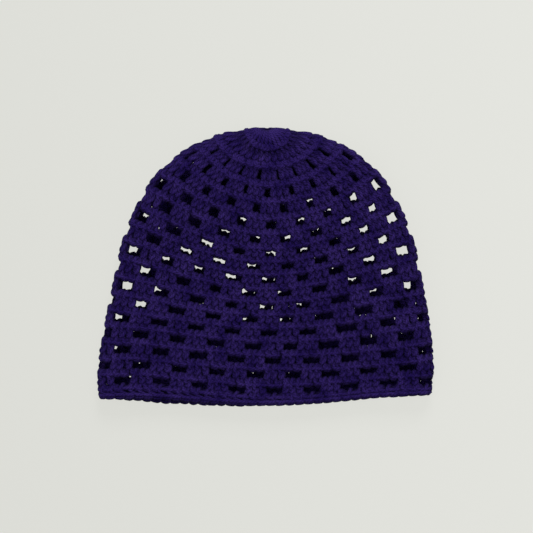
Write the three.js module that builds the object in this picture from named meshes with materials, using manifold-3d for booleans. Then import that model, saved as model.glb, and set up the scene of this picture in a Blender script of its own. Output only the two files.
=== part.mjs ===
// A crocheted hat lying flat on one side, in millimetres, with +Z up, the crown towards +Y and the mouth
// towards -Y. The wall is one thick openwork fabric, folded round both sides and over the crown.
import * as THREE from 'three';
import { mergeVertices } from 'three/addons/utils/BufferGeometryUtils.js';
import Module from 'manifold-3d';

const wasm = await Module();
wasm.setup();

// The flattened hat seen from above: half its width at each drop below the crown's edge.
const OUTLINE = [
  { drop: 0, halfWidth: 0 },
  { drop: 3.9, halfWidth: 31 },
  { drop: 10, halfWidth: 49 },
  { drop: 16.5, halfWidth: 62.5 },
  { drop: 28.5, halfWidth: 78.5 },
  { drop: 42, halfWidth: 90.5 },
  { drop: 65.5, halfWidth: 103.5 },
  { drop: 90.5, halfWidth: 112.5 },
  { drop: 133.5, halfWidth: 121 },
  { drop: 170.5, halfWidth: 127.5 },
  { drop: 189, halfWidth: 129.8 },
  { drop: 212, halfWidth: 129 },
];

// The crochet rounds from the crown's centre to the rim: height down the front's middle and along the crease.
const ROUNDS = [
  { front: 15.4, side: 20.8 },
  { front: 14.7, side: 20.8 },
  { front: 12.3, side: 18.4 },
  { front: 12.7, side: 17.8 },
  { front: 12.0, side: 17.6 },
  { front: 12.7, side: 17.0 },
  { front: 11.6, side: 15.0 },
  { front: 11.2, side: 14.6 },
  { front: 10.8, side: 14.5 },
  { front: 10.8, side: 14.4 },
  { front: 10.0, side: 13.9 },
  { front: 10.8, side: 13.7 },
  { front: 9.7, side: 13.4 },
  { front: 11.2, side: 12.8 },
  { front: 10.9, side: 13.1 },
  { front: 10.9, side: 12.9 },
  { front: 10.9, side: 11.8 },
  { front: 8.9, side: 10.0 },
  { front: 5.4, side: 5.6 },
];
const SOLID_ROUNDS = 2;
const OPEN_ROUNDS = 18;
const CLUSTERS = 18;

const WALL = 4.2;
const CREASE_RADIUS = { crown: 9.5, brim: 7.5, from: -60, to: 90 };
const SAG = { depth: 3, reach: 50 };
const HAT_LENGTH = 213.9;
const CROWN_EDGE_Y = HAT_LENGTH / 2;
const CROWN_SET = 4.4;
const CROWN_BLEND = { first: 1, last: 8 };
const RIM_SIDE_DROP = 208;
const PIECE_CLEARANCE = 0.3;

// The gaps between clusters, wider at the edge towards the crown. They are cut through in every third round.
const GAP = { upperShare: 0.36, lowerShare: 0.22, heightShare: 0.42, reach: 4.6 };
const FIRST_GAP_ROUND = 3;
const GAP_ROUND_STEP = 3;
const GAP_ABOVE_ROUND_END = 0.7;

const OUTLINE_STEPS = 24;
const CURVE_STEPS = 40;
const BEND_COLUMNS = 4;
const FLAT_COLUMNS = 7;
const YARN_COLOUR = '#1c123e';

function smoothStep(from, to, value) {
  return THREE.MathUtils.smoothstep(value, from, to);
}

// Value at a fractional index of a list.
function sample(list, index) {
  const low = THREE.MathUtils.clamp(Math.floor(index), 0, list.length - 2);
  return THREE.MathUtils.lerp(list[low], list[low + 1], index - low);
}

// Fractional index of a value in a rising list.
function locate(list, value) {
  let low = 0;
  while (low < list.length - 2 && list[low + 1] < value) low += 1;
  return low + (value - list[low]) / (list[low + 1] - list[low]);
}

function runningTotals(values) {
  const totals = [0];
  values.forEach((value) => totals.push(totals[totals.length - 1] + value));
  return totals;
}

function pathLengths(points) {
  return runningTotals(points.slice(1).map((point, i) => point.distanceTo(points[i])));
}

function creaseRadius(y) {
  const share = smoothStep(CREASE_RADIUS.from, CREASE_RADIUS.to, y);
  return THREE.MathUtils.lerp(CREASE_RADIUS.brim, CREASE_RADIUS.crown, share);
}

// The outline's right half as a smooth run of points, from the crown's edge to below the rim.
function outlinePoints() {
  const rows = OUTLINE.map((row) => new THREE.Vector2(row.halfWidth, CROWN_EDGE_Y - row.drop));
  const mirrored = new THREE.Vector2(-rows[1].x, rows[1].y);
  const last = rows[rows.length - 1];
  const beyond = last.clone().multiplyScalar(2).sub(rows[rows.length - 2]);
  const knots = [mirrored, ...rows, beyond];
  const points = [];
  for (let i = 1; i < knots.length - 2; i += 1) {
    for (let step = 0; step < OUTLINE_STEPS; step += 1) {
      const span = new THREE.SplineCurve(knots.slice(i - 1, i + 3));
      points.push(span.getPoint((1 + step / OUTLINE_STEPS) / 3));
    }
  }
  points.push(last);
  return points;
}

// The crease of the flattened fabric: where its middle layer would reach as one flat sheet.
function creaseLine() {
  const outline = outlinePoints();
  const crease = outline.map((point, i) => {
    const before = outline[Math.max(i - 1, 0)];
    const after = outline[Math.min(i + 1, outline.length - 1)];
    const along = i === 0 ? new THREE.Vector2(1, 0) : after.clone().sub(before).normalize();
    const outward = new THREE.Vector2(-along.y, along.x);
    const radius = creaseRadius(point.y);
    const inner = point.clone().addScaledVector(outward, -(WALL / 2 + radius));
    const flat = inner.clone().addScaledVector(outward, (Math.PI / 2) * radius);
    return { flat, outward, radius };
  });
  const lengths = pathLengths(crease.map((spot) => spot.flat));
  return { crease, lengths };
}

const CREASE = creaseLine();
const DEPTHS = runningTotals(ROUNDS.map((row) => row.front));
const SIDE_DEPTHS = runningTotals(ROUNDS.map((row) => row.side));
const CREASE_TOP_Y = CREASE.crease[0].flat.y;
const RIM_INDEX = locate(CREASE.crease.map((spot) => -spot.flat.y), RIM_SIDE_DROP - CROWN_EDGE_Y);
const CREASE_LENGTH = sample(CREASE.lengths, RIM_INDEX);

function creaseAt(round) {
  const along = (CREASE_LENGTH * sample(SIDE_DEPTHS, round)) / SIDE_DEPTHS[SIDE_DEPTHS.length - 1];
  const index = locate(CREASE.lengths, along);
  const low = CREASE.crease[Math.floor(index)];
  const high = CREASE.crease[Math.floor(index) + 1];
  const share = index - Math.floor(index);
  return {
    flat: low.flat.clone().lerp(high.flat, share),
    outward: low.outward.clone().lerp(high.outward, share).normalize(),
  };
}

// A smooth arc from one point to another with the given end directions.
function arcBetween(start, startDirection, end, endDirection) {
  const turn = Math.acos(THREE.MathUtils.clamp(startDirection.dot(endDirection), -1, 1));
  const handle = start.distanceTo(end) / (3 * Math.cos(turn / 4) ** 2);
  const curve = new THREE.CubicBezierCurve(
    start,
    start.clone().addScaledVector(startDirection, handle),
    end.clone().addScaledVector(endDirection, -handle),
    end,
  );
  return curve.getPoints(CURVE_STEPS);
}

// One round's right half on the flat sheet, from the front's middle to the crease and on to the back's.
function roundCurves(round) {
  const depth = sample(DEPTHS, round);
  const backDepth = depth + CROWN_SET * (2 * smoothStep(1, 6, round) - 1);
  const frontMiddle = new THREE.Vector2(0, CREASE_TOP_Y - CROWN_SET - depth);
  const backMiddle = new THREE.Vector2(0, CREASE_TOP_Y - backDepth);
  const { flat, outward } = creaseAt(round);
  const lean = Math.asin(Math.min(1, CROWN_SET / Math.max(depth, CROWN_SET)));
  const tilt = lean * (1 - smoothStep(CROWN_BLEND.first, CROWN_BLEND.last, round));
  const towardsCrown = new THREE.Vector2(-outward.y, outward.x).multiplyScalar(Math.sin(tilt));
  const arriving = outward.clone().multiplyScalar(Math.cos(tilt)).add(towardsCrown);
  const leaving = outward.clone().multiplyScalar(-Math.cos(tilt)).add(towardsCrown);
  const front = arcBetween(frontMiddle, new THREE.Vector2(1, 0), flat, arriving);
  const back = arcBetween(flat, leaving, backMiddle, new THREE.Vector2(-1, 0));
  return { front, back, frontLengths: pathLengths(front), backLengths: pathLengths(back) };
}

function pointAlong(points, lengths, along) {
  const index = THREE.MathUtils.clamp(locate(lengths, along), 0, points.length - 1);
  const low = Math.min(Math.floor(index), points.length - 2);
  return points[low].clone().lerp(points[low + 1], index - low);
}

// The nearest spot of the crease to a flat point, with the distance inside it.
function insideCrease(point) {
  let nearest = { distance: Infinity };
  for (let i = 0; i < CREASE.crease.length - 1; i += 1) {
    const start = CREASE.crease[i];
    const end = CREASE.crease[i + 1];
    const run = end.flat.clone().sub(start.flat);
    const share = THREE.MathUtils.clamp(point.clone().sub(start.flat).dot(run) / run.lengthSq(), 0, 1);
    const flat = start.flat.clone().lerp(end.flat, share);
    const distance = flat.distanceTo(point);
    if (distance < nearest.distance) {
      const outward = start.outward.clone().lerp(end.outward, share).normalize();
      nearest = { distance, outward, flat, radius: THREE.MathUtils.lerp(start.radius, end.radius, share) };
    }
  }
  return nearest;
}

// A flat point of the front or the back, folded into the lying hat and moved out of the wall by an offset.
function foldedPoint(flatPoint, side, offset) {
  const mirror = flatPoint.x < 0 ? -1 : 1;
  const right = new THREE.Vector2(Math.abs(flatPoint.x), flatPoint.y);
  const spot = insideCrease(right);
  const bend = (Math.PI / 2) * spot.radius;
  const centreHeight = WALL / 2 + spot.radius;
  if (spot.distance < bend) {
    const angle = (bend - spot.distance) / spot.radius;
    const reach = (spot.radius + offset) * Math.sin(angle);
    const rise = (spot.radius + offset) * Math.cos(angle);
    const inner = spot.flat.clone().addScaledVector(spot.outward, reach - bend);
    return new THREE.Vector3(mirror * inner.x, inner.y, centreHeight + side * rise);
  }
  const sag = side > 0 ? SAG.depth * smoothStep(0, SAG.reach, spot.distance - bend) : 0;
  const height = centreHeight + side * (creaseRadius(right.y) + offset) - sag;
  return new THREE.Vector3(mirror * right.x, right.y, side > 0 ? height : WALL / 2 - offset);
}

// The wall's columns in order round the hat, closer together where the fabric bends.
function columnPlaces(round, curves) {
  const { flat } = creaseAt(round);
  const bend = (Math.PI / 2) * creaseRadius(flat.y);
  const half = (length) => {
    const bent = Math.min(bend, length / 2);
    const places = [];
    for (let i = 0; i < BEND_COLUMNS; i += 1) places.push((bent * i) / BEND_COLUMNS);
    for (let i = 0; i <= FLAT_COLUMNS; i += 1) places.push(bent + ((length - bent) * i) / FLAT_COLUMNS);
    return places;
  };
  const frontLength = curves.frontLengths[CURVE_STEPS];
  const backLength = curves.backLengths[CURVE_STEPS];
  const frontPlaces = half(frontLength).map((place) => ({ side: 1, along: frontLength - place })).reverse();
  const backPlaces = half(backLength).map((place) => ({ side: -1, along: place })).slice(1);
  const right = [...frontPlaces, ...backPlaces].map((place) => ({ ...place, mirror: 1 }));
  const left = right.slice(1, -1).reverse().map((place) => ({ ...place, mirror: -1 }));
  return [...right, ...left];
}

function flatOf(place, curves) {
  const points = place.side > 0 ? curves.front : curves.back;
  const lengths = place.side > 0 ? curves.frontLengths : curves.backLengths;
  const flat = pointAlong(points, lengths, place.along);
  return new THREE.Vector2(place.mirror * flat.x, flat.y);
}

function ringPoints(round, offset) {
  const curves = roundCurves(round);
  return columnPlaces(round, curves).map((place) => foldedPoint(flatOf(place, curves), place.side, offset));
}

function roundLength(round) {
  const curves = roundCurves(round);
  return 2 * (curves.frontLengths[CURVE_STEPS] + curves.backLengths[CURVE_STEPS]);
}

// A point of the wall by round and turn, where turn runs from 0 at the front's middle round to 1.
function wallPoint(round, turn, offset) {
  const curves = roundCurves(round);
  const wrapped = turn - Math.round(turn);
  const frontLength = curves.frontLengths[CURVE_STEPS];
  const along = Math.abs(wrapped) * 2 * (frontLength + curves.backLengths[CURVE_STEPS]);
  const side = along <= frontLength ? 1 : -1;
  const place = { side, along: side > 0 ? along : along - frontLength, mirror: wrapped < 0 ? -1 : 1 };
  return foldedPoint(flatOf(place, curves), side, offset);
}

function quad(faces, a, b, c, d) {
  faces.push(a, b, c, a, c, d);
}

// A closed geometry from a loop of rings, each joined to the next, or from a stack closed by poles.
function geometryFrom(rings, poles) {
  const positions = [];
  rings.flat().forEach((point) => positions.push(point.x, point.y, point.z));
  poles.forEach((point) => positions.push(point.x, point.y, point.z));
  const count = rings[0].length;
  const faces = [];
  const joints = poles.length ? rings.length - 1 : rings.length;
  for (let r = 0; r < joints; r += 1) {
    const here = r * count;
    const there = ((r + 1) % rings.length) * count;
    for (let c = 0; c < count; c += 1) {
      const next = (c + 1) % count;
      quad(faces, here + c, there + c, there + next, here + next);
    }
  }
  if (poles.length) {
    const [first, last] = [rings.length * count, rings.length * count + 1];
    const lastRing = (rings.length - 1) * count;
    for (let c = 0; c < count; c += 1) {
      const next = (c + 1) % count;
      faces.push(first, c, next);
      faces.push(lastRing + next, lastRing + c, last);
    }
  }
  const geometry = new THREE.BufferGeometry();
  geometry.setAttribute('position', new THREE.Float32BufferAttribute(positions, 3));
  geometry.setIndex(faces);
  return geometry;
}

function roundRows(from, to, count) {
  const rows = [];
  for (let i = 0; i <= count; i += 1) rows.push(THREE.MathUtils.lerp(from, to, i / count));
  return rows;
}

// The clearance between neighbouring pieces as a share of the round below them.
function clearanceShare(round) {
  return PIECE_CLEARANCE / 2 / ROUNDS[Math.min(round, ROUNDS.length - 1)].front;
}

function bandGeometry(from, to, count) {
  const rows = roundRows(from, to, count);
  const outer = rows.map((round) => ringPoints(round, WALL / 2));
  const inner = rows.map((round) => ringPoints(round, -WALL / 2)).reverse();
  return geometryFrom([...outer, ...inner], []);
}

function crownCenter() {
  const edge = SOLID_ROUNDS - clearanceShare(SOLID_ROUNDS);
  const rows = [0.2, 0.5, 0.85, 1.25, 1.6, edge];
  const outer = rows.map((round) => ringPoints(round, WALL / 2));
  const inner = rows.map((round) => ringPoints(round, -WALL / 2)).reverse();
  return geometryFrom([...outer, ...inner], [wallPoint(0, 0, WALL / 2), wallPoint(0, 0, -WALL / 2)]);
}

function manifoldOf(geometry) {
  const bare = geometry.clone();
  bare.deleteAttribute('normal');
  bare.deleteAttribute('uv');
  const merged = mergeVertices(bare);
  const vertProperties = new Float32Array(merged.attributes.position.array);
  const triVerts = new Uint32Array(merged.index.array);
  return new wasm.Manifold(new wasm.Mesh({ numProp: 3, vertProperties, triVerts }));
}

function geometryOf(manifold) {
  const mesh = manifold.getMesh();
  const geometry = new THREE.BufferGeometry();
  geometry.setAttribute('position', new THREE.BufferAttribute(new Float32Array(mesh.vertProperties), 3));
  geometry.setIndex(new THREE.BufferAttribute(new Uint32Array(mesh.triVerts), 1));
  return geometry;
}

// A tapered prism through the wall at one place of the lattice, its wide edge towards the crown.
function gapCutter(round, turn) {
  const step = 0.02;
  const centre = wallPoint(round, turn, 0);
  const outward = wallPoint(round, turn, 1).sub(centre).normalize();
  const above = wallPoint(round - step, turn, 0);
  const towardsCrown = above.sub(centre).projectOnPlane(outward).normalize();
  const sideways = new THREE.Vector3().crossVectors(towardsCrown, outward);
  const repeat = roundLength(round) / CLUSTERS;
  const upper = (GAP.upperShare * repeat) / 2;
  const lower = (GAP.lowerShare * repeat) / 2;
  const rise = (GAP.heightShare * ROUNDS[Math.floor(round)].front) / 2;
  const shape = new THREE.Shape([
    new THREE.Vector2(-lower, -rise),
    new THREE.Vector2(lower, -rise),
    new THREE.Vector2(upper, rise),
    new THREE.Vector2(-upper, rise),
  ]);
  const prism = new THREE.ExtrudeGeometry(shape, { depth: 2 * GAP.reach, bevelEnabled: false });
  prism.translate(0, 0, -GAP.reach);
  prism.applyMatrix4(new THREE.Matrix4().makeBasis(sideways, towardsCrown, outward).setPosition(centre));
  return manifoldOf(prism);
}

function gapCutters() {
  const cutters = [];
  for (let round = FIRST_GAP_ROUND; round <= OPEN_ROUNDS; round += GAP_ROUND_STEP) {
    const stagger = (round % 2) / 2;
    for (let i = 0; i < CLUSTERS; i += 1) {
      cutters.push(gapCutter(round - GAP_ABOVE_ROUND_END, (i + stagger) / CLUSTERS));
    }
  }
  return cutters;
}

function meshBody() {
  const top = SOLID_ROUNDS + clearanceShare(SOLID_ROUNDS);
  const bottom = OPEN_ROUNDS - clearanceShare(OPEN_ROUNDS);
  const wall = manifoldOf(bandGeometry(top, bottom, OPEN_ROUNDS - SOLID_ROUNDS));
  return geometryOf(wall.subtract(wasm.Manifold.union(gapCutters())));
}

function brimEdging() {
  return bandGeometry(OPEN_ROUNDS + clearanceShare(OPEN_ROUNDS), ROUNDS.length, 1);
}

function piece(name, geometry) {
  const material = new THREE.MeshStandardMaterial({ color: YARN_COLOUR, roughness: 0.95, metalness: 0 });
  const mesh = new THREE.Mesh(geometry, material);
  mesh.name = name;
  return mesh;
}

const hat = new THREE.Group();
hat.add(piece('crown_center', crownCenter()));
hat.add(piece('mesh_body', meshBody()));
hat.add(piece('brim_edging', brimEdging()));

export default hat;
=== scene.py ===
import math

import bmesh
import bpy
import numpy as np
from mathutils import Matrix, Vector


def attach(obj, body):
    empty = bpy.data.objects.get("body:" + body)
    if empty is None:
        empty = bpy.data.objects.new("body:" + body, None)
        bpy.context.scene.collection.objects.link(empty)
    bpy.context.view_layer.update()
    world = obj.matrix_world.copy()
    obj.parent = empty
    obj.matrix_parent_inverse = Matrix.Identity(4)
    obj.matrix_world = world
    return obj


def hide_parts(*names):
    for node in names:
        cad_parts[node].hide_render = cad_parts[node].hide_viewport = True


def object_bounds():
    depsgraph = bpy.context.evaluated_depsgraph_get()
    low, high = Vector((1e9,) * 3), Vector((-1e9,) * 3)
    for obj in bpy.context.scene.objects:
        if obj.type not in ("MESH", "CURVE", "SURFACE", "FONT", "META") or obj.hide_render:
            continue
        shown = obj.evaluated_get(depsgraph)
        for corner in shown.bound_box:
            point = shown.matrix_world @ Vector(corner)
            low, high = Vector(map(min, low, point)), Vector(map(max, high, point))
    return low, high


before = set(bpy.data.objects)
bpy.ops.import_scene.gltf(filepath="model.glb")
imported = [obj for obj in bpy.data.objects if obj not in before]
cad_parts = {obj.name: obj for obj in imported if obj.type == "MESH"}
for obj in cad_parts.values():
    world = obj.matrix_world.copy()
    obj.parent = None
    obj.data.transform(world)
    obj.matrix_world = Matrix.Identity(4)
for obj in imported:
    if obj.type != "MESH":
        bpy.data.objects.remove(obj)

cad_low, cad_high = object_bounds()

# Sizes of the hat are in millimetres, as in the part's source, until a strand is made.
METRES = 0.001

# The flattened hat seen from above: half its width at each drop below the crown's edge.
OUTLINE = [
    dict(drop=0, half_width=0),
    dict(drop=3.9, half_width=31),
    dict(drop=10, half_width=49),
    dict(drop=16.5, half_width=62.5),
    dict(drop=28.5, half_width=78.5),
    dict(drop=42, half_width=90.5),
    dict(drop=65.5, half_width=103.5),
    dict(drop=90.5, half_width=112.5),
    dict(drop=133.5, half_width=121),
    dict(drop=170.5, half_width=127.5),
    dict(drop=189, half_width=129.8),
    dict(drop=212, half_width=129),
]

# The rounds from the crown's centre to the rim: height down the front's middle and along the crease.
ROUNDS = [
    dict(front=15.4, side=20.8),
    dict(front=14.7, side=20.8),
    dict(front=12.3, side=18.4),
    dict(front=12.7, side=17.8),
    dict(front=12.0, side=17.6),
    dict(front=12.7, side=17.0),
    dict(front=11.6, side=15.0),
    dict(front=11.2, side=14.6),
    dict(front=10.8, side=14.5),
    dict(front=10.8, side=14.4),
    dict(front=10.0, side=13.9),
    dict(front=10.8, side=13.7),
    dict(front=9.7, side=13.4),
    dict(front=11.2, side=12.8),
    dict(front=10.9, side=13.1),
    dict(front=10.9, side=12.9),
    dict(front=10.9, side=11.8),
    dict(front=8.9, side=10.0),
    dict(front=5.4, side=5.6),
]
FIRST_OPEN_ROUND = 3
LAST_OPEN_ROUND = len(ROUNDS) - 1
CLUSTERS = 18

STITCHES_PER_REPEAT = 4

WALL = 4.2
CREASE_RADIUS = dict(crown=9.5, brim=7.5, start=-60, end=90)
SAG = dict(depth=3, reach=50)
CROWN_EDGE_Y = 213.9 / 2
# The crown's centre lies this far down on the front. The creases take up the shift over one span of rounds
# and the back over the other.
CROWN_SET = 4.4
CROWN_BLEND = dict(first=1, last=8)
BACK_BLEND = dict(first=1, last=6)
RIM_SIDE_DROP = 208

# How far the lying hat leans to the right along its left and right edges, by height in the picture.
HALF_WIDTH = 130
LEAN = dict(
    y=[-107, -92, -76, -58, -40, 0, 50, 85, 98, 106],
    left=[0, 0, 0, -0.2, -0.2, 0.6, 1.0, 0.8, 0.3, 0],
    right=[-1.6, -1.4, 0.2, 1.8, 2.8, 3.0, 2.6, 3.0, 3.6, 0.6],
)

OUTLINE_STEPS = 24
CURVE_STEPS = 40
TURN_STEPS = 720
ROUND_STEP = 0.125
# The map of the wall goes on past the rim, for the loops that reach over it.
PAST_RIM = 1.5
ROUNDS_MAPPED = len(ROUNDS) + PAST_RIM

# A turn is a share of the way round: 0 at the front's middle, then the right crease and the back's middle.
CREASE_TURN = 0.25
HALF_TURN = 0.5

# How far the stitches have slipped towards the rim from an even spacing, in rounds. The front's columns
# run from the left crease to the right one, and the back's go on from there to the left crease again.
SLIP_ROUNDS = list(range(len(ROUNDS) + 1))
FRONT_TURNS = [-0.25, -0.18, -0.10, 0.00, 0.10, 0.18, 0.25]
FRONT_SLIP = [
    [0.00, 0.00, 0.00, 0.00, 0.00, 0.00, 0.00],
    [-0.20, -0.12, 0.05, 0.14, 0.05, -0.12, -0.20],
    [0.00, 0.00, 0.00, 0.00, 0.00, 0.00, 0.00],
    [0.00, -0.25, 0.00, 0.15, 0.10, 0.00, 0.00],
    [0.00, -0.15, -0.05, 0.12, 0.10, 0.00, 0.00],
    [0.00, -0.15, -0.10, 0.20, 0.20, -0.05, 0.00],
    [0.00, -0.10, 0.05, 0.17, 0.12, 0.08, 0.00],
    [0.00, 0.00, 0.10, 0.15, 0.10, 0.05, 0.00],
    [0.00, 0.00, 0.05, 0.08, 0.05, 0.05, 0.00],
    [0.00, 0.00, 0.00, 0.00, 0.00, 0.00, 0.00],
    [0.00, 0.00, 0.00, 0.00, 0.00, 0.00, 0.00],
    [0.00, 0.00, 0.00, 0.00, 0.00, 0.00, 0.00],
    [0.00, -0.08, -0.08, -0.08, -0.08, -0.08, 0.00],
    [0.00, -0.10, -0.10, 0.00, 0.00, -0.05, 0.00],
    [0.00, -0.20, -0.15, 0.00, 0.00, 0.00, 0.00],
    [0.00, -0.28, -0.26, -0.02, 0.03, 0.02, 0.00],
    [0.00, -0.35, -0.22, -0.07, 0.02, -0.07, 0.00],
    [0.00, -0.25, -0.15, 0.06, 0.06, 0.00, 0.00],
    [0.00, -0.25, -0.25, -0.10, 0.00, -0.10, -0.10],
    [0.20, 0.10, 0.00, 0.00, 0.00, -0.15, -0.40],
]
# How far the back's stitches lie off the front's gaps towards the crown, in rounds: where this is small the
# floor shows through both layers, and at about half a round it is hidden.
BACK_TURNS = [0.25, 0.30, 0.35, 0.40, 0.45, 0.50, 0.55, 0.60, 0.65, 0.70, 0.75]
BACK_OFFSET = [
    [0.00, 0.00, 0.00, 0.00, 0.00, 0.00, 0.00, 0.00, 0.00, 0.00, 0.00],
    [0.00, 0.00, 0.00, 0.00, 0.00, 0.00, 0.00, 0.00, 0.00, 0.00, 0.00],
    [0.00, 0.30, 0.45, 0.45, 0.45, 0.45, 0.45, 0.45, 0.45, 0.30, 0.00],
    [0.00, 0.10, 0.40, 0.75, 0.75, 0.75, 0.75, 0.60, 0.50, 0.40, 0.00],
    [0.00, 0.50, 0.60, 0.62, 0.62, 0.60, 0.60, 0.62, 0.62, 0.62, 0.00],
    [0.00, 0.60, 0.60, 0.40, 0.60, 0.70, 0.65, 0.55, 0.55, 0.55, 0.00],
    [0.00, 0.00, 0.15, 0.45, 0.28, 0.52, 0.38, 0.65, 0.70, 0.95, 0.00],
    [0.00, 0.15, 0.20, 0.32, 0.20, 0.36, 0.34, 0.40, 0.62, 0.60, 0.00],
    [0.00, 0.05, 0.18, 0.60, 0.08, 0.15, 0.55, -0.10, 0.50, 0.55, 0.00],
    [0.00, 0.05, 0.25, 0.50, 0.50, 0.30, -0.02, 0.22, 0.05, 0.60, 0.00],
    [0.00, 0.05, 0.28, 0.35, 0.50, 0.16, 0.18, 0.24, 0.18, 0.28, 0.00],
    [0.00, 0.25, 0.25, 0.50, 0.50, 0.22, 0.20, 0.50, 0.50, 0.17, 0.00],
    [0.00, 0.15, 0.30, 0.50, 0.02, 0.00, 0.50, 0.50, 0.38, 0.00, 0.00],
    [0.00, 0.05, 0.50, 0.50, 0.20, 0.00, 0.05, 0.50, 0.50, 0.05, 0.00],
    [0.00, 0.40, 0.40, 0.40, 0.40, 0.40, 0.40, 0.40, 0.40, 0.20, 0.00],
    [0.00, 0.40, 0.40, 0.40, 0.40, 0.40, 0.40, 0.40, 0.40, 0.40, 0.00],
    [0.00, 0.40, 0.40, 0.40, 0.40, 0.40, 0.40, 0.40, 0.40, 0.40, 0.00],
    [0.00, 0.35, 0.35, 0.35, 0.35, 0.35, 0.35, 0.35, 0.35, 0.36, 0.00],
    [0.00, 0.25, 0.25, 0.25, 0.25, 0.25, 0.25, 0.25, 0.25, 0.35, 0.00],
    [0.00, 0.00, 0.00, 0.00, 0.00, -0.15, -0.45, -0.65, -0.70, -0.50, 0.00],
]
# The crown's centre lies on the front, so its rounds reach further down the back: by these shares of a round.
CROWN_LEAD = dict(rounds=[1, 2, 3, 4, 5, 6, 7], lead=[0.0, 0.45, 0.45, 0.30, 0.15, 0.05, 0.0])

YARN_RADIUS = 1.6
RING_SPACING = 1.1
TWIST_PITCH = 7.0
LOOP_STEPS = 6
# The ring that the first round is worked into lies this far from the crown's centre, in rounds.
CENTRE_RING = 0.14
CENTRE_RING_KNOTS = 12
# Strands on the inner side lie slack and full between the posts: thicker by this share, by round. It starts
# and is full at these depths under the wall's middle layer, in millimetres.
INNER_SWELL = dict(rounds=[9, 13], share=[0.50, 0.62])
SWELL_DEPTHS = [0.1, 0.7]
# Each round's base lies this many millimetres deeper than its lower edge, by kind of round. Level is the
# share of it by which the edge is raised, and the base sinks by the rest.
TIER = dict(centre=0.2, solid=1.9, first=1.2, open=0.35, level=0.35)
# Down its round the fabric sinks over the slope and is back at the edge's level at the end.
SUNK = dict(end=0.9, slope=[-0.15, 0.1])
# Loops keep the yarn's thickness: in a round of this height they have the shares of it in the tables below.
# In other rounds what lies within this reach of either edge is scaled, between the least and the most.
PLAIN_HEIGHT = 10.4
LOOP_REACH = 0.2
LOOP_SCALE = dict(least=0.4, most=1.15)


def smooth_step(start, end, value):
    share = np.clip((value - start) / (end - start), 0, 1)
    return share * share * (3 - 2 * share)


def sample(values, index):
    """Values of a list at fractional indices, carried on straight past its ends."""
    index = np.asarray(index, float)
    low = np.clip(np.floor(index).astype(int), 0, len(values) - 2)
    share = (index - low)[..., None] if values.ndim > 1 else index - low
    return values[low] + (values[low + 1] - values[low]) * share


def running_total(values):
    return np.concatenate([[0], np.cumsum(values)])


def path_lengths(points):
    return running_total(np.linalg.norm(np.diff(points, axis=0), axis=1))


def crease_radius(y):
    share = smooth_step(CREASE_RADIUS["start"], CREASE_RADIUS["end"], y)
    return CREASE_RADIUS["brim"] + (CREASE_RADIUS["crown"] - CREASE_RADIUS["brim"]) * share


def spline_span(knots, share):
    """The middle span of a smooth curve through four knots."""
    before, start, end, after = knots
    t = share[:, None]
    return 0.5 * (
        2 * start
        + (end - before) * t
        + (2 * before - 5 * start + 4 * end - after) * t**2
        + (3 * start - before - 3 * end + after) * t**3
    )


def outline_points():
    """The outline's right half from the crown's edge to below the rim."""
    rows = np.array([(row["half_width"], CROWN_EDGE_Y - row["drop"]) for row in OUTLINE], float)
    knots = np.vstack([rows[1] * (-1, 1), rows, 2 * rows[-1] - rows[-2]])
    share = np.arange(OUTLINE_STEPS) / OUTLINE_STEPS
    spans = [spline_span(knots[i - 1 : i + 3], share) for i in range(1, len(knots) - 2)]
    return np.vstack(spans + [rows[-1:]])


def crease_line():
    """Where the wall's middle layer would reach as one flat sheet, with its outward direction and radius."""
    outline = outline_points()
    along = np.gradient(outline, axis=0)
    along[0] = (1, 0)
    along /= np.linalg.norm(along, axis=1)[:, None]
    outward = np.stack([-along[:, 1], along[:, 0]], axis=1)
    radius = crease_radius(outline[:, 1])
    flat = outline + outward * ((math.pi / 2 - 1) * radius - WALL / 2)[:, None]
    return flat, outward, radius


CREASE_FLAT, CREASE_OUTWARD, CREASE_RADII = crease_line()
CREASE_LENGTHS = path_lengths(CREASE_FLAT)
DEPTHS = running_total([row["front"] for row in ROUNDS])
SIDE_DEPTHS = running_total([row["side"] for row in ROUNDS])
CREASE_TOP_Y = CREASE_FLAT[0, 1]
CREASE_LENGTH = np.interp(RIM_SIDE_DROP - CROWN_EDGE_Y, -CREASE_FLAT[:, 1], CREASE_LENGTHS)


def arc_between(start, start_direction, end, end_direction):
    """A smooth arc from one point to another with the given end directions."""
    turn = math.acos(np.clip(start_direction @ end_direction, -1, 1))
    handle = np.linalg.norm(end - start) / (3 * math.cos(turn / 4) ** 2)
    t = np.linspace(0, 1, CURVE_STEPS + 1)[:, None]
    first = start + start_direction * handle
    second = end - end_direction * handle
    return (1 - t) ** 3 * start + 3 * (1 - t) ** 2 * t * first + 3 * (1 - t) * t**2 * second + t**3 * end


def round_curves(place):
    """One round's right half on the flat sheet: its front arc to the crease and its back arc from it."""
    depth = float(sample(DEPTHS, place))
    settled = smooth_step(BACK_BLEND["first"], BACK_BLEND["last"], place)
    back_depth = depth + CROWN_SET * (2 * settled - 1)
    along = CREASE_LENGTH * float(sample(SIDE_DEPTHS, place)) / SIDE_DEPTHS[-1]
    index = np.interp(along, CREASE_LENGTHS, np.arange(len(CREASE_LENGTHS)))
    fold = sample(CREASE_FLAT, index)
    outward = sample(CREASE_OUTWARD, index)
    outward = outward / np.linalg.norm(outward)
    lean = math.asin(min(1, CROWN_SET / max(depth, CROWN_SET)))
    tilt = lean * (1 - smooth_step(CROWN_BLEND["first"], CROWN_BLEND["last"], place))
    towards_crown = np.array([-outward[1], outward[0]]) * math.sin(tilt)
    front_middle = np.array([0, CREASE_TOP_Y - CROWN_SET - depth])
    back_middle = np.array([0, CREASE_TOP_Y - back_depth])
    right = np.array([1.0, 0.0])
    front = arc_between(front_middle, right, fold, outward * math.cos(tilt) + towards_crown)
    back = arc_between(fold, towards_crown - outward * math.cos(tilt), back_middle, -right)
    return front, back


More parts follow.
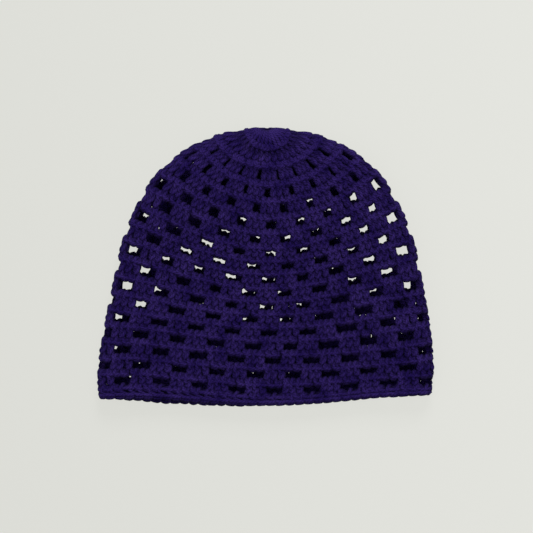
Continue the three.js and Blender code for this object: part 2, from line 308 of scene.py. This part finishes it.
def inside_crease(points):
    """For flat points of the right half: distance to the crease, its nearest point, direction and radius."""
    start = CREASE_FLAT[:-1]
    run = np.diff(CREASE_FLAT, axis=0)
    away = points[:, None, :] - start[None]
    share = np.clip((away * run).sum(2) / (run * run).sum(1), 0, 1)
    distance = np.linalg.norm(away - share[..., None] * run, axis=2)
    nearest = distance.argmin(axis=1)
    rows = np.arange(len(points))
    index = nearest + share[rows, nearest]
    flat = sample(CREASE_FLAT, index)
    outward = sample(CREASE_OUTWARD, index)
    radius = sample(CREASE_RADII, index)
    return distance[rows, nearest], flat, outward, radius


def folded(points, side, offset):
    """Flat points of the front (side 1) or back (side -1), folded into the lying hat."""
    mirror = np.where(points[:, 0] < 0, -1.0, 1.0)
    right = np.stack([np.abs(points[:, 0]), points[:, 1]], axis=1)
    distance, flat, outward, radius = inside_crease(right)
    bend = math.pi / 2 * radius
    centre_height = WALL / 2 + radius
    angle = np.clip((bend - distance) / radius, 0, math.pi / 2)
    bent = flat + outward * ((radius + offset) * np.sin(angle) - bend)[:, None]
    bent_height = centre_height + side * (radius + offset) * np.cos(angle)
    sag = np.where(side > 0, SAG["depth"] * smooth_step(0, SAG["reach"], distance - bend), 0)
    level = centre_height + crease_radius(right[:, 1]) + offset - sag
    level = np.where(side > 0, level, WALL / 2 - offset)
    is_bent = distance < bend
    ground = np.where(is_bent[:, None], bent, right)
    height = np.where(is_bent, bent_height, level)
    return np.stack([mirror * ground[:, 0], ground[:, 1], height], axis=1)


def wall_row(place):
    """Middle layer, outward direction and length of one round, from the front's middle all the way round."""
    front, back = round_curves(place)
    front_lengths = path_lengths(front)
    back_lengths = path_lengths(back)
    half = front_lengths[-1] + back_lengths[-1]
    turn = np.arange(TURN_STEPS + 1) / TURN_STEPS
    wrapped = turn - np.round(turn)
    along = np.abs(wrapped) * 2 * half
    side = np.where(along <= front_lengths[-1], 1, -1)
    on_front = [np.interp(along, front_lengths, front[:, axis]) for axis in (0, 1)]
    on_back = [np.interp(along - front_lengths[-1], back_lengths, back[:, axis]) for axis in (0, 1)]
    flat = np.where(side > 0, on_front, on_back).T
    flat[:, 0] *= np.where(wrapped < 0, -1, 1)
    middle = folded(flat, side, 0.0)
    return middle, folded(flat, side, 1.0) - middle, 2 * half


def leaning(points):
    """The points with the lying hat's slight lean to the right."""
    towards_right = 0.5 + 0.5 * points[..., 0] / HALF_WIDTH
    left = np.interp(points[..., 1], LEAN["y"], LEAN["left"])
    right = np.interp(points[..., 1], LEAN["y"], LEAN["right"])
    points[..., 0] += left + (right - left) * towards_right
    return points


ROW_PLACES = np.arange(0, ROUNDS_MAPPED + ROUND_STEP / 2, ROUND_STEP)
WALL_ROWS = [wall_row(place) for place in ROW_PLACES]
WALL_MIDDLE = leaning(np.array([row[0] for row in WALL_ROWS]))
WALL_OUTWARD = np.array([row[1] for row in WALL_ROWS])
ROW_LENGTHS = np.array([row[2] for row in WALL_ROWS])
# Just short of the last row, so that there is always a next one to blend with.
LAST_ROW = len(ROW_PLACES) - 1.001


def from_table(table, turns, turn, place):
    """A slip table's smooth value at a turn and round."""
    table = np.asarray(table)
    column = np.interp(turn, turns, np.arange(len(turns)))
    row = np.interp(place, SLIP_ROUNDS, np.arange(len(SLIP_ROUNDS)))
    low_column = np.clip(np.floor(column).astype(int), 0, len(turns) - 2)
    low_row = np.clip(np.floor(row).astype(int), 0, len(SLIP_ROUNDS) - 2)
    across = smooth_step(0, 1, column - low_column)
    down = smooth_step(0, 1, row - low_row)
    upper = table[low_row, low_column] * (1 - across) + table[low_row, low_column + 1] * across
    lower = table[low_row + 1, low_column] * (1 - across) + table[low_row + 1, low_column + 1] * across
    return upper * (1 - down) + lower * down


def across_back(turn):
    """0 on the front and at the creases, rising to 1 at the back's middle."""
    return np.sin(math.pi * 2 * np.clip(turn - CREASE_TURN, 0, HALF_TURN))


def slip(turn, place):
    """How many rounds the stitches have slipped towards the rim at a turn and round."""
    turn = (turn + CREASE_TURN) % 1 - CREASE_TURN
    on_back = turn > CREASE_TURN
    under = np.where(on_back, HALF_TURN - turn, turn)
    front = from_table(FRONT_SLIP, FRONT_TURNS, under, place)
    lead = np.interp(place, CROWN_LEAD["rounds"], CROWN_LEAD["lead"])
    back = front + lead * across_back(turn) - from_table(BACK_OFFSET, BACK_TURNS, turn, place)
    return np.where(on_back, back, front)


def wall_points(turn, place, lift):
    """Points of the wall by turn, round and height over its middle layer."""
    place = place + slip(turn, place)
    row = np.clip(place / ROUND_STEP, 0, LAST_ROW)
    column = (turn % 1) * TURN_STEPS
    low_row = np.floor(row).astype(int)
    low_column = np.floor(column).astype(int)
    down = (row - low_row)[:, None]
    across = (column - low_column)[:, None]

    def blend(grid):
        upper = grid[low_row, low_column] * (1 - across) + grid[low_row, low_column + 1] * across
        lower = grid[low_row + 1, low_column] * (1 - across) + grid[low_row + 1, low_column + 1] * across
        return upper * (1 - down) + lower * down

    return blend(WALL_MIDDLE) + blend(WALL_OUTWARD) * lift[:, None]


def round_length(place):
    return float(np.interp(place, ROW_PLACES, ROW_LENGTHS))


# The yarn's way through one double crochet, working towards rising turn. Down is a share of the round, from 0
# at the round before to 1 at this round's chain, across is in stitch widths, and lift is in millimetres.
DOUBLE_CROCHET = [
    dict(down=0.94, across=-0.30, lift=-0.65),
    dict(down=0.80, across=-0.24, lift=-0.40),
    dict(down=0.56, across=-0.02, lift=-0.80),
    dict(down=0.32, across=0.02, lift=-0.80),
    dict(down=0.24, across=-0.16, lift=-0.40),
    dict(down=0.36, across=-0.30, lift=0.00),
    dict(down=0.56, across=-0.30, lift=0.40),
    dict(down=0.64, across=-0.14, lift=1.00),
    dict(down=0.52, across=0.12, lift=1.15),
    dict(down=0.36, across=0.29, lift=0.40),
    dict(down=0.20, across=0.28, lift=-0.30),
    dict(down=0.00, across=0.24, lift=-0.75),
    dict(down=-0.16, across=0.19, lift=-0.75),
    dict(down=-0.25, across=0.10, lift=-0.30),
    dict(down=-0.25, across=-0.12, lift=0.30),
    dict(down=-0.14, across=-0.21, lift=0.85),
    dict(down=0.06, across=-0.25, lift=1.05),
    dict(down=0.26, across=-0.22, lift=0.85),
    dict(down=0.42, across=-0.02, lift=0.00),
    dict(down=0.58, across=0.20, lift=-0.10),
    dict(down=0.76, across=0.28, lift=0.45),
    dict(down=0.93, across=0.27, lift=0.85),
]
# The same stitch in the crown's first round, where it lies straight along the radius as two ribs.
CENTRE_STITCH = [
    dict(down=0.90, across=-0.34, lift=-0.60),
    dict(down=0.60, across=-0.06, lift=-0.85),
    dict(down=0.22, across=0.02, lift=-0.85),
    dict(down=0.02, across=-0.14, lift=-0.60),
    dict(down=0.00, across=-0.26, lift=0.00),
    dict(down=0.14, across=-0.27, lift=0.70),
    dict(down=0.45, across=-0.26, lift=0.95),
    dict(down=0.70, across=-0.22, lift=0.75),
    dict(down=0.80, across=-0.02, lift=0.30),
    dict(down=0.70, across=0.21, lift=0.60),
    dict(down=0.45, across=0.25, lift=0.90),
    dict(down=0.14, across=0.26, lift=0.65),
    dict(down=0.02, across=0.20, lift=0.00),
    dict(down=0.10, across=0.06, lift=-0.50),
    dict(down=0.50, across=0.12, lift=-0.20),
    dict(down=0.80, across=0.30, lift=0.10),
    dict(down=0.90, across=0.32, lift=0.85),
]
# The link that closes it, flatter than a chain link.
CENTRE_LINK = [
    dict(down=0.96, across=0.50, lift=1.00),
    dict(down=0.97, across=0.90, lift=0.90),
    dict(down=0.95, across=1.10, lift=0.30),
    dict(down=1.00, across=0.80, lift=-0.60),
    dict(down=1.00, across=0.45, lift=-0.80),
    dict(down=0.94, across=0.30, lift=-0.90),
]
# The chain link that closes a stitch, along this round's lower edge: two loops and the bump behind them.
CHAIN_LINK = [
    dict(down=1.03, across=0.50, lift=0.75),
    dict(down=1.05, across=0.90, lift=0.50),
    dict(down=1.07, across=1.14, lift=0.00),
    dict(down=1.11, across=0.85, lift=-0.50),
    dict(down=1.08, across=0.45, lift=-0.60),
    dict(down=0.98, across=0.24, lift=-0.85),
    dict(down=0.85, across=0.44, lift=-0.80),
]
# The free chain between two clusters.
FREE_CHAIN = [
    dict(down=0.96, across=0.00, lift=-0.80),
    dict(down=1.00, across=0.20, lift=0.40),
    dict(down=1.01, across=0.50, lift=0.95),
    dict(down=1.02, across=0.90, lift=0.75),
    dict(down=1.05, across=1.14, lift=0.10),
    dict(down=1.12, across=0.85, lift=-0.45),
    dict(down=1.09, across=0.45, lift=-0.60),
    dict(down=1.01, across=0.24, lift=-0.85),
    dict(down=0.97, across=0.42, lift=-0.90),
]
# The link that closes a single crochet, rolled over the rim.
EDGE_LINK = [
    dict(down=0.72, across=0.40, lift=0.90),
    dict(down=0.74, across=0.80, lift=0.95),
    dict(down=0.78, across=1.12, lift=0.60),
    dict(down=0.98, across=1.04, lift=0.10),
    dict(down=1.05, across=0.70, lift=0.05),
    dict(down=1.03, across=0.34, lift=-0.20),
    dict(down=0.84, across=0.16, lift=-0.85),
    dict(down=0.60, across=0.34, lift=-0.95),
]
# The yarn's way through one single crochet of the edging.
SINGLE_CROCHET = [
    dict(down=0.40, across=-0.16, lift=-0.85),
    dict(down=0.00, across=0.06, lift=-0.85),
    dict(down=-0.26, across=0.14, lift=-0.65),
    dict(down=-0.36, across=0.10, lift=0.00),
    dict(down=-0.26, across=0.00, lift=0.60),
    dict(down=0.02, across=-0.18, lift=0.85),
    dict(down=0.30, across=-0.16, lift=0.60),
    dict(down=0.44, across=0.04, lift=0.20),
    dict(down=0.56, across=0.22, lift=0.45),
]

CENTRE_STITCHES = 14
SOLID_STITCHES = 34
CLUSTER_STITCHES = 3
# A stitch's width at its top and base, in millimetres, and the most of a repeat that a cluster may fill.
STITCH_WIDTH = dict(top=6.4, base=4.3)
CLUSTER_SHARE = dict(rounds=[3, 4, 5, 6, 7, 8], share=[0.77, 0.86, 0.82, 0.76, 0.72, 0.70])
# Up to this round the free chains are as full as the clusters.
LAST_TIGHT_ROUND = 5
# A cluster's posts start to spread from this far down their round.
FAN_START = -0.27
# Every other openwork round is turned by this much of a repeat.
STAGGER = 0.5
# How far the openwork's lower edges sit above the plain count, in rounds, and the rounds where that comes in
# and goes again.
LINE_SHIFT = dict(
    upper=0.12,
    upper_rounds=[3, 9],
    lower=0.13,
    lower_rounds=[12, 14],
    fade_rounds=[16.5, 18],
)
RIM_LIFT = dict(share=0.2, rounds=[18, 19])
# How far the fabric turns round itself, in repeats: towards the hem, on the front's right and at its middle.
# Four turns or rounds: where it starts, is full, fades and ends. Two rounds: where it starts and is full.
# The crown's two turns: where it fades and ends on either side of the middle.
HEM_DRIFT = dict(share=0.25, rounds=[12, 18])
RIGHT_DRIFT = dict(share=0.18, turns=[0.05, 0.15, 0.24, 0.36], rounds=[11, 13, 14, 17])
CROWN_DRIFT = dict(share=0.09, turns=[0.12, 0.22], rounds=[4, 5, 8.5, 10.5])
# How far the back's clusters turn round the hat against the front's, in repeats, at its middle.
BACK_DRIFT = dict(
    rounds=[3, 5, 6, 7, 8, 9, 10, 11, 12, 13, 14, 15, 16, 17, 18],
    share=[0, -0.10, -0.20, -0.20, -0.13, 0.05, 0.20, 0.26, 0.28, 0.28, 0.34, 0.28, 0.15, 0.05, 0],
)

# How unevenly the yarn lies: across in stitch widths, down in rounds, lift in millimetres, and in thickness.
JITTER = dict(across=0.03, down=0.012, lift=0.06, thickness=0.02)
# How unevenly the clusters and the tops of their posts are spaced, in repeats.
CLUSTER_NUDGE = 0.025
POST_NUDGE = 0.02

SEED = 18
rng = np.random.default_rng(SEED)


def line(number):
    """Where a round's lower edge lies, in rounds: the openwork sits a little above the plain count."""
    upper = LINE_SHIFT["upper"] * smooth_step(*LINE_SHIFT["upper_rounds"], number)
    lower = LINE_SHIFT["lower"] * smooth_step(*LINE_SHIFT["lower_rounds"], number)
    kept = 1 - smooth_step(*LINE_SHIFT["fade_rounds"], number)
    rim = RIM_LIFT["share"] * smooth_step(*RIM_LIFT["rounds"], number)
    return number - (upper + lower) * kept - rim


def rise_and_fall(spots, value, size=1.0):
    """Smoothly up from 0 to a size and back again, where the spots are its start, full, fade and end."""
    start, full, fade, end = spots
    return size * smooth_step(start, full, value) * (1 - smooth_step(fade, end, value))


def drift(turn, number):
    """The fabric's slight turning round itself, as a share of the whole turn."""
    turn = (turn + HALF_TURN) % 1 - HALF_TURN
    towards_hem = HEM_DRIFT["share"] * smooth_step(*HEM_DRIFT["rounds"], number)
    on_right = rise_and_fall(RIGHT_DRIFT["turns"], turn)
    right_side = rise_and_fall(RIGHT_DRIFT["rounds"], number, RIGHT_DRIFT["share"] * on_right)
    at_middle = 1 - smooth_step(*CROWN_DRIFT["turns"], abs(turn))
    crown = rise_and_fall(CROWN_DRIFT["rounds"], number, CROWN_DRIFT["share"] * at_middle)
    back = across_back(turn % 1) * np.interp(number, BACK_DRIFT["rounds"], BACK_DRIFT["share"])
    return (towards_hem + right_side + crown + back) / CLUSTERS


def fan(down):
    """How far a cluster's posts have spread, from 0 at their shared base to 1 at their tops."""
    return np.clip((down - FAN_START) / (1 - FAN_START), 0, 1)


def seated(down, height):
    """A row's place in a round of a given height, where the loops at both edges keep their size."""
    share = np.clip(PLAIN_HEIGHT / height, LOOP_SCALE["least"], LOOP_SCALE["most"])
    post = 1 - 2 * LOOP_REACH
    middle = LOOP_REACH * share + (down - LOOP_REACH) / post * (1 - 2 * LOOP_REACH * share)
    lower = np.where(down > 1 - LOOP_REACH, 1 - (1 - down) * share, middle)
    return np.where(down < LOOP_REACH, down * share, lower)


def stitch_points(rows, number, base, top, base_width, top_width, tier=0.0, swell=0.0):
    """Turn, round, lift and thickness of a stitch's rows, whose place and width change from base to top."""
    down = np.array([row["down"] for row in rows])
    across = np.array([row["across"] for row in rows])
    lift = np.array([row["lift"] for row in rows])
    share = fan(down)
    width = base_width * (1 - share) + top_width * share
    turn = base * (1 - share) + top * share + across * width
    start = CENTRE_RING if number == 1 else line(number - 1)
    end = line(number)
    level = np.zeros(len(down))
    span = wall_points(turn, level + end, level) - wall_points(turn, level + start, level)
    place = start + (end - start) * seated(down, np.linalg.norm(span, axis=1))
    thickness = 1 + swell * smooth_step(*SWELL_DEPTHS, -lift)
    sunk = np.clip((SUNK["end"] - down) / SUNK["end"], 0, 1) * smooth_step(*SUNK["slope"], down)
    lift = lift - tier * (sunk - TIER["level"])
    return np.stack([turn, place, lift, thickness], axis=1)


def jittered(points, width):
    """A stitch's points, each moved a little at random."""
    size = np.array([width * JITTER["across"], JITTER["down"], JITTER["lift"], JITTER["thickness"]])
    return points + rng.normal(size=points.shape) * size


def inner_swell(number):
    return float(np.interp(number, INNER_SWELL["rounds"], INNER_SWELL["share"]))


def cluster(number, centre, stitches):
    """The stitches of one cluster and the chain after it."""
    tier = TIER["first"] if number == FIRST_OPEN_ROUND else TIER["open"]
    swell = inner_swell(number)
    repeat = 1 / CLUSTERS
    length = round_length(number)
    share = np.interp(number, CLUSTER_SHARE["rounds"], CLUSTER_SHARE["share"])
    top_step = min(STITCH_WIDTH["top"] / length, share * repeat / stitches)
    base_step = min(STITCH_WIDTH["base"] / length, top_step)
    parts = []
    for i in range(stitches):
        place = i - (stitches - 1) / 2
        nudge = rng.normal() * POST_NUDGE * repeat
        base = centre + base_step * place
        top = centre + top_step * place + nudge
        post = stitch_points(DOUBLE_CROCHET, number, base, top, base_step, top_step, tier, swell)
        link = stitch_points(CHAIN_LINK, number, top, top, top_step, top_step, tier, swell)
        parts.append(jittered(np.vstack([post, link]), top_step))
    chain_width = repeat - stitches * top_step
    chain_at = centre + top_step * (stitches + 1) / 2
    chain_swell = swell if number <= LAST_TIGHT_ROUND else 0
    parts.append(
        stitch_points(FREE_CHAIN, number, chain_at, chain_at, chain_width, chain_width, tier, chain_swell)
    )
    return np.vstack(parts)


def cluster_round(number):
    """One openwork round as a closed way of the yarn."""
    stagger = 0.0 if number % 2 else STAGGER
    parts = []
    for i in range(CLUSTERS):
        centre = (i + stagger + rng.normal() * CLUSTER_NUDGE) / CLUSTERS
        centre += drift(centre, number)
        parts.append(cluster(number, centre, CLUSTER_STITCHES))
    return np.vstack(parts)


def solid_round(number, count, rows, tier):
    """A round of plain stitches."""
    width = 1 / count
    parts = []
    for i in range(count):
        top = i * width
        points = stitch_points(rows, number, top, top, width, width, tier, inner_swell(number))
        parts.append(jittered(points, width))
    return np.vstack(parts)


def edging_round(number, count):
    """The round of single crochet along the rim."""
    width = 1 / count
    parts = []
    for i in range(count):
        top = i * width
        rows = SINGLE_CROCHET + EDGE_LINK
        parts.append(jittered(stitch_points(rows, number, top, top, width, width), width))
    return np.vstack(parts)


def centre_ring():
    """The ring of yarn that the first round is worked into."""
    count = CENTRE_RING_KNOTS
    turns = np.arange(count) / count
    return np.stack([turns, np.full(count, CENTRE_RING), np.zeros(count), np.ones(count)], axis=1)


def smooth_loop(knots, spacing):
    """A closed smooth curve through knots of any number of values, evenly spaced in the first three."""
    count = len(knots)
    share = np.arange(LOOP_STEPS) / LOOP_STEPS
    spans = [
        spline_span([knots[i - 1], knots[i], knots[(i + 1) % count], knots[(i + 2) % count]], share)
        for i in range(count)
    ]
    fine = np.vstack(spans + [knots[:1]])
    lengths = path_lengths(fine[:, :3])
    steps = int(lengths[-1] / spacing)
    places = np.arange(steps) * lengths[-1] / steps
    points = np.stack([np.interp(places, lengths, column) for column in fine.T], axis=1)
    return points, lengths[-1]


def strand_mesh(path, name):
    """A closed tube of yarn along a way through the wall. Its map counts the yarn's twists along it, and its
    crest attribute tells how far each spot stands out from the middle of the fabric."""
    middle = wall_points(path[:, 0], path[:, 1], path[:, 2] * 0)
    knots = wall_points(path[:, 0], path[:, 1], path[:, 2])
    outward = wall_points(path[:, 0], path[:, 1], path[:, 2] * 0 + 1) - middle
    along, length = smooth_loop(np.hstack([knots, outward, path[:, 2:]]), RING_SPACING)
    points, outward, lift, thickness = along[:, :3], along[:, 3:6], along[:, 6], along[:, 7]
    curve = bpy.data.curves.new(name, "CURVE")
    curve.dimensions = "3D"
    curve.bevel_depth = YARN_RADIUS * METRES
    curve.bevel_resolution = 1
    curve.twist_mode = "MINIMUM"
    spline = curve.splines.new("POLY")
    spline.points.add(len(points) - 1)
    spline.use_cyclic_u = True
    placed = np.column_stack([points * METRES, np.ones(len(points))])
    spline.points.foreach_set("co", placed.ravel())
    spline.points.foreach_set("radius", thickness)
    holder = bpy.data.objects.new(name, curve)
    bpy.context.scene.collection.objects.link(holder)
    bpy.context.view_layer.update()
    mesh = bpy.data.meshes.new_from_object(holder.evaluated_get(bpy.context.evaluated_depsgraph_get()))
    bpy.data.objects.remove(holder)
    bpy.data.curves.remove(curve)
    twists = round(length / TWIST_PITCH)
    layer = mesh.uv_layers[0]
    coords = np.zeros(len(layer.uv) * 2, np.float32)
    layer.uv.foreach_get("vector", coords)
    coords[0::2] *= twists
    layer.uv.foreach_set("vector", coords)
    sides = len(mesh.vertices) // len(points)
    places = np.zeros(len(mesh.vertices) * 3, np.float32)
    mesh.vertices.foreach_get("co", places)
    rings = places.reshape(len(points), sides, 3) / METRES
    raised = ((rings - points[:, None]) * outward[:, None]).sum(2) + lift[:, None]
    # The yarn's material paints shade and light from the crest: darker where the yarn lies deep in the
    # fabric, lighter where it stands out.
    crest = mesh.attributes.new("crest", "FLOAT", "POINT")
    crest.data.foreach_set("value", np.abs(raised).astype(np.float32).ravel())
    return mesh


def join_strands(name, paths, material, node):
    """One piece from several closed strands."""
    piece = bmesh.new()
    for i, path in enumerate(paths):
        mesh = strand_mesh(path, f"{name}_strand_{i}")
        piece.from_mesh(mesh)
        bpy.data.meshes.remove(mesh)
    bmesh.ops.recalc_face_normals(piece, faces=piece.faces)
    data = bpy.data.meshes.new(name)
    piece.to_mesh(data)
    piece.free()
    data.polygons.foreach_set("use_smooth", np.ones(len(data.polygons), bool))
    data.materials.append(material)
    holder = bpy.data.objects.new(name, data)
    bpy.context.scene.collection.objects.link(holder)
    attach(holder, "root")
    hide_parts(node)
    print(name, "triangles", sum(len(face.vertices) - 2 for face in data.polygons))
    return holder


def node_at(nodes, kind, **settings):
    node = nodes.new(kind)
    for key, value in settings.items():
        setattr(node, key, value)
    return node


def set_inputs(node, values):
    for key, value in values.items():
        node.inputs[key].default_value = value


YARN_FINISH = {
    "Roughness": 0.95,
    "Specular IOR Level": 0.04,
    "Sheen Weight": 0.03,
    "Sheen Roughness": 0.5,
    "Sheen Tint": (0.35, 0.28, 0.75, 1),
}
YARN_PLIES = 3.0
YARN_PATCHES = {"Scale": 90.0, "Detail": 3.0}
YARN_FIBRES = {"Scale": 1500.0, "Detail": 3.0}
YARN_TONES = [
    dict(position=0.30, colour=(0.0080, 0.0032, 0.049, 1)),
    dict(position=0.75, colour=(0.0252, 0.0130, 0.098, 1)),
]
# Painted shade and light: the yarn's colour is darker in the grooves between its plies and where it lies deep
# in the fabric, and a little lighter on its crests.
PLY_PAINTED_SHADE = {"From Min": 0.0, "From Max": 0.6, "To Min": 0.55, "To Max": 1.0}
DEPTH_PAINTED_SHADE = {"From Min": 0.2, "From Max": 2.2, "To Min": 0.18, "To Max": 1.26}
FIBRE_HEIGHT = 0.25
YARN_BUMP = {"Strength": 0.8, "Distance": 0.0005}


def yarn_material():
    """Plied matte yarn: strands twist round each other along the map, with fine fibres over them, and painted
    shade in the ply grooves and deep in the fabric.
    """
    material = bpy.data.materials.new("purple_yarn")
    material.use_nodes = True
    nodes, links = material.node_tree.nodes, material.node_tree.links
    shader = nodes["Principled BSDF"]
    set_inputs(shader, YARN_FINISH)

    place = node_at(nodes, "ShaderNodeUVMap")
    parts = node_at(nodes, "ShaderNodeSeparateXYZ")
    links.new(place.outputs["UV"], parts.inputs["Vector"])
    around = node_at(nodes, "ShaderNodeMath", operation="MULTIPLY")
    around.inputs[1].default_value = YARN_PLIES
    links.new(parts.outputs["Y"], around.inputs[0])
    along = node_at(nodes, "ShaderNodeMath", operation="MULTIPLY")
    along.inputs[1].default_value = YARN_PLIES
    links.new(parts.outputs["X"], along.inputs[0])
    phase = node_at(nodes, "ShaderNodeMath", operation="ADD")
    links.new(around.outputs[0], phase.inputs[0])
    links.new(along.outputs[0], phase.inputs[1])
    half_turns = node_at(nodes, "ShaderNodeMath", operation="MULTIPLY")
    half_turns.inputs[1].default_value = math.pi
    links.new(phase.outputs[0], half_turns.inputs[0])
    wave = node_at(nodes, "ShaderNodeMath", operation="SINE")
    links.new(half_turns.outputs[0], wave.inputs[0])
    ply = node_at(nodes, "ShaderNodeMath", operation="ABSOLUTE")
    links.new(wave.outputs[0], ply.inputs[0])

    where = node_at(nodes, "ShaderNodeTexCoord")
    patches = node_at(nodes, "ShaderNodeTexNoise")
    set_inputs(patches, YARN_PATCHES)
    links.new(where.outputs["Object"], patches.inputs["Vector"])
    fibres = node_at(nodes, "ShaderNodeTexNoise")
    set_inputs(fibres, YARN_FIBRES)
    links.new(where.outputs["Object"], fibres.inputs["Vector"])

    tone = node_at(nodes, "ShaderNodeValToRGB")
    for stop, shade in zip(tone.color_ramp.elements, YARN_TONES):
        stop.position = shade["position"]
        stop.color = shade["colour"]
    links.new(patches.outputs["Fac"], tone.inputs["Fac"])
    # Painted shade: the colour is darkened in the grooves between the plies.
    groove = node_at(nodes, "ShaderNodeMapRange")
    set_inputs(groove, PLY_PAINTED_SHADE)
    links.new(ply.outputs[0], groove.inputs["Value"])
    # Painted shade where the yarn lies deep in the fabric and painted light on its crests, read from the
    # crest attribute.
    crest = node_at(nodes, "ShaderNodeAttribute", attribute_name="crest")
    depth = node_at(nodes, "ShaderNodeMapRange")
    set_inputs(depth, DEPTH_PAINTED_SHADE)
    links.new(crest.outputs["Fac"], depth.inputs["Value"])
    both = node_at(nodes, "ShaderNodeMath", operation="MULTIPLY")
    links.new(groove.outputs["Result"], both.inputs[0])
    links.new(depth.outputs["Result"], both.inputs[1])
    shaded = node_at(nodes, "ShaderNodeMix", data_type="RGBA", blend_type="MULTIPLY")
    shaded.inputs["Factor"].default_value = 1.0
    links.new(tone.outputs["Color"], shaded.inputs["A"])
    links.new(both.outputs[0], shaded.inputs["B"])
    links.new(shaded.outputs["Result"], shader.inputs["Base Color"])

    height = node_at(nodes, "ShaderNodeMath", operation="MULTIPLY_ADD")
    height.inputs[1].default_value = FIBRE_HEIGHT
    links.new(fibres.outputs["Fac"], height.inputs[0])
    links.new(ply.outputs[0], height.inputs[2])
    bump = node_at(nodes, "ShaderNodeBump")
    set_inputs(bump, YARN_BUMP)
    links.new(height.outputs[0], bump.inputs["Height"])
    links.new(bump.outputs["Normal"], shader.inputs["Normal"])
    return material


FLOOR_FINISH = {
    "Base Color": (0.08, 0.08, 0.078, 1),
    "Roughness": 0.9,
    "Specular IOR Level": 0.0,
    "Emission Strength": 1.0,
}
# The floor's glow is painted light, a little brighter at the right (B) than at the left (A).
FLOOR_GLOW_TONES = {"A": (0.640, 0.645, 0.605, 1), "B": (0.690, 0.695, 0.655, 1)}
FLOOR_GLOW_BLEND = {"From Min": -0.22, "From Max": 0.22}


def floor_material():
    """A pale ground that glows with painted light instead of being lit, so it is nearly free of shadow and
    lights the hat from below, and is painted a little brighter towards the right.
    """
    material = bpy.data.materials.new("glowing_pale_floor")
    material.use_nodes = True
    nodes, links = material.node_tree.nodes, material.node_tree.links
    shader = nodes["Principled BSDF"]
    set_inputs(shader, FLOOR_FINISH)
    where = node_at(nodes, "ShaderNodeTexCoord")
    parts = node_at(nodes, "ShaderNodeSeparateXYZ")
    links.new(where.outputs["Object"], parts.inputs["Vector"])
    across = node_at(nodes, "ShaderNodeMapRange")
    set_inputs(across, FLOOR_GLOW_BLEND)
    links.new(parts.outputs["X"], across.inputs["Value"])
    tone = node_at(nodes, "ShaderNodeMix", data_type="RGBA")
    set_inputs(tone, FLOOR_GLOW_TONES)
    links.new(across.outputs["Result"], tone.inputs["Factor"])
    links.new(tone.outputs["Result"], shader.inputs["Emission Color"])
    return material


# Lengths here and in the materials are in metres. The lowest loops reach a little below the wall, and the
# floor lies just under them.
FLOOR_SIZE = 4.0
FLOOR_DROP = 0.0012
# The photograph's size and where the hat lies in it, in pixels.
PHOTO_SIZE = 533
HAT_WIDTH_PIXELS = 337
HAT_CENTRE_PIXELS = (265.8, 266.2)
SENSOR = 36
CAMERA_HEIGHT = 1.1
# About half the hat's height, where the camera's scale is set.
OUTLINE_HEIGHT = 0.0115
SKY = {"Color": (1, 1, 0.99, 1), "Strength": 0.4}
LIGHTS = [
    dict(name="key_light", place=(0.15, 1.3, 1.3), size=0.8, power=26),
    dict(name="fill_light", place=(-0.9, -0.3, 1.5), size=1.5, power=6),
]


def build_floor():
    plane = bmesh.new()
    bmesh.ops.create_grid(plane, x_segments=1, y_segments=1, size=FLOOR_SIZE / 2)
    bmesh.ops.translate(plane, vec=Vector((0, 0, -FLOOR_DROP)), verts=plane.verts)
    data = bpy.data.meshes.new("floor")
    plane.to_mesh(data)
    plane.free()
    data.materials.append(floor_material())
    holder = bpy.data.objects.new("floor", data)
    bpy.context.scene.collection.objects.link(holder)


def build_camera():
    """Straight above the lying hat, framed as in the photograph."""
    width = cad_high.x - cad_low.x
    per_pixel = width / HAT_WIDTH_PIXELS
    data = bpy.data.cameras.new("camera")
    data.sensor_width = SENSOR
    data.lens = SENSOR * (CAMERA_HEIGHT - OUTLINE_HEIGHT) / (per_pixel * PHOTO_SIZE)
    holder = bpy.data.objects.new("camera", data)
    bpy.context.scene.collection.objects.link(holder)
    middle = PHOTO_SIZE / 2
    off_x = (middle - HAT_CENTRE_PIXELS[0]) * per_pixel
    off_y = (HAT_CENTRE_PIXELS[1] - middle) * per_pixel
    holder.location = (off_x, off_y, CAMERA_HEIGHT)
    bpy.context.scene.camera = holder


def build_lights():
    world = bpy.data.worlds.new("studio")
    world.use_nodes = True
    set_inputs(world.node_tree.nodes["Background"], SKY)
    bpy.context.scene.world = world
    for light in LIGHTS:
        data = bpy.data.lights.new(light["name"], "AREA")
        data.size = light["size"]
        data.energy = light["power"]
        holder = bpy.data.objects.new(light["name"], data)
        holder.location = light["place"]
        holder.rotation_mode = "QUATERNION"
        holder.rotation_quaternion = (-Vector(light["place"])).to_track_quat("-Z", "Y")
        bpy.context.scene.collection.objects.link(holder)


# The openwork's pieces, with the first and last round of each.
MESH_PIECES = [
    dict(name="mesh_crown_rounds", first=FIRST_OPEN_ROUND, last=6),
    dict(name="mesh_upper_rounds", first=7, last=9),
    dict(name="mesh_middle_rounds", first=10, last=12),
    dict(name="mesh_lower_rounds", first=13, last=15),
    dict(name="mesh_hem_rounds", first=16, last=LAST_OPEN_ROUND),
]


def build_hat():
    yarn = yarn_material()
    join_strands(
        "crown_center_stitches",
        [
            centre_ring(),
            solid_round(1, CENTRE_STITCHES, CENTRE_STITCH + CENTRE_LINK, TIER["centre"]),
            solid_round(2, SOLID_STITCHES, DOUBLE_CROCHET + CHAIN_LINK, TIER["solid"]),
        ],
        yarn,
        "crown_center",
    )
    for part in MESH_PIECES:
        paths = [cluster_round(number) for number in range(part["first"], part["last"] + 1)]
        join_strands(part["name"], paths, yarn, "mesh_body")
    edging = edging_round(len(ROUNDS), STITCHES_PER_REPEAT * CLUSTERS)
    join_strands("brim_edging_stitches", [edging], yarn, "brim_edging")


build_floor()
build_camera()
build_lights()
build_hat()
bpy.context.scene.view_settings.view_transform = "Standard"
